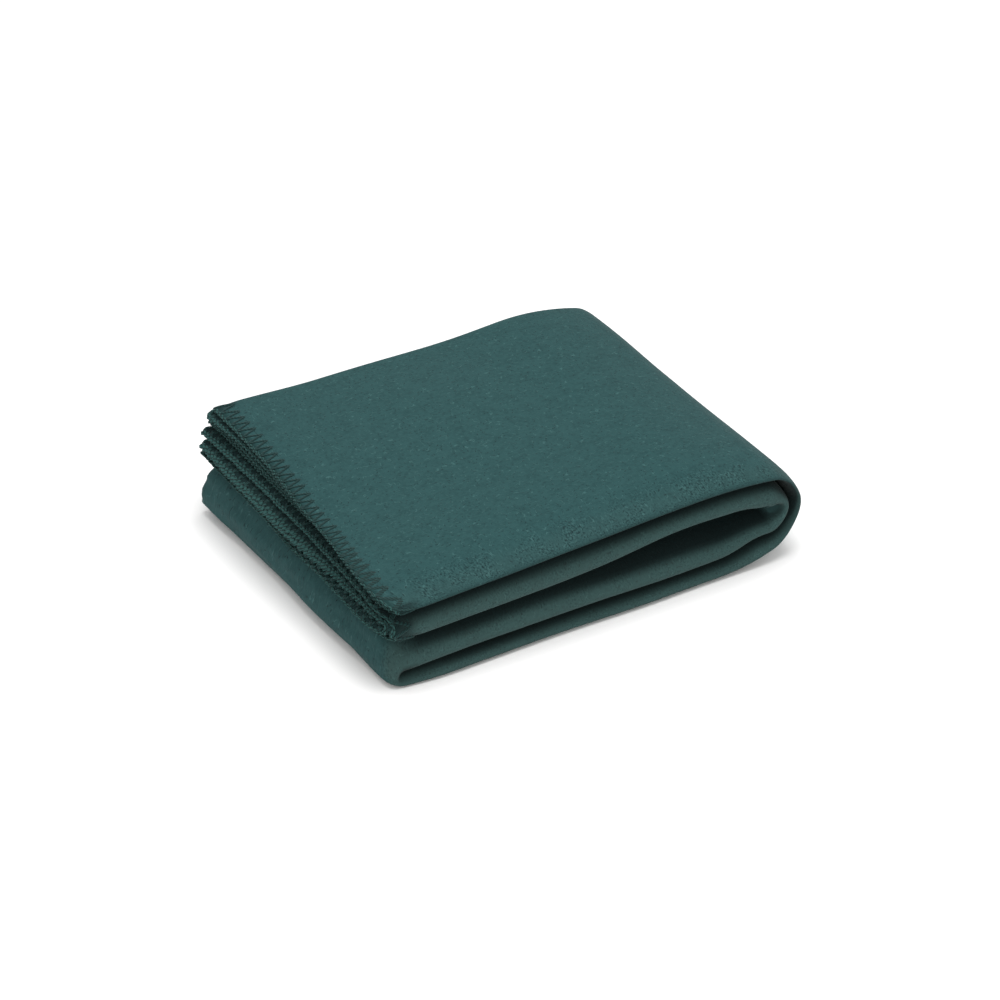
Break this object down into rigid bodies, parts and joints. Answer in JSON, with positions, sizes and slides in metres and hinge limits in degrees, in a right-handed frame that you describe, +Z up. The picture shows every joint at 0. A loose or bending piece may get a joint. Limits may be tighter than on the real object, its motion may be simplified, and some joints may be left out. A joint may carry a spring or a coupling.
{
  "type": "camp blanket",
  "caption": "Fleece camp blanket with overlocked yarn edges, folded flat into a low rectangular pack that lies on a surface.",
  "frame": {"origin": "under the middle of the folded pack, on the surface that it lies on", "axes": "+X from the hem end to the thick fold end, +Y from the rolled front edge to the back edge, +Z up"},
  "size_m": [0.391, 0.3052, 0.0993],
  "materials": {
    "fleece": "brushed matte nap, petrol green",
    "seam_yarn": "soft twisted yarn, a darker petrol green",
    "needle_thread": "fine twisted thread, a darker petrol green"
  },
  "bodies": {
    "root": {"fleece_sheet": "fleece", "upper_hem_face_looper_yarn": "seam_yarn", "upper_hem_back_looper_yarn": "seam_yarn", "upper_hem_needle_thread": "needle_thread", "lower_hem_face_looper_yarn": "seam_yarn", "lower_hem_back_looper_yarn": "seam_yarn", "lower_hem_needle_thread": "needle_thread", "outer_long_edge_face_looper_yarn": "seam_yarn", "outer_long_edge_back_looper_yarn": "seam_yarn", "outer_long_edge_needle_thread": "needle_thread", "inner_long_edge_face_looper_yarn": "seam_yarn", "inner_long_edge_back_looper_yarn": "seam_yarn", "inner_long_edge_needle_thread": "needle_thread"}
  },
  "joints": []
}
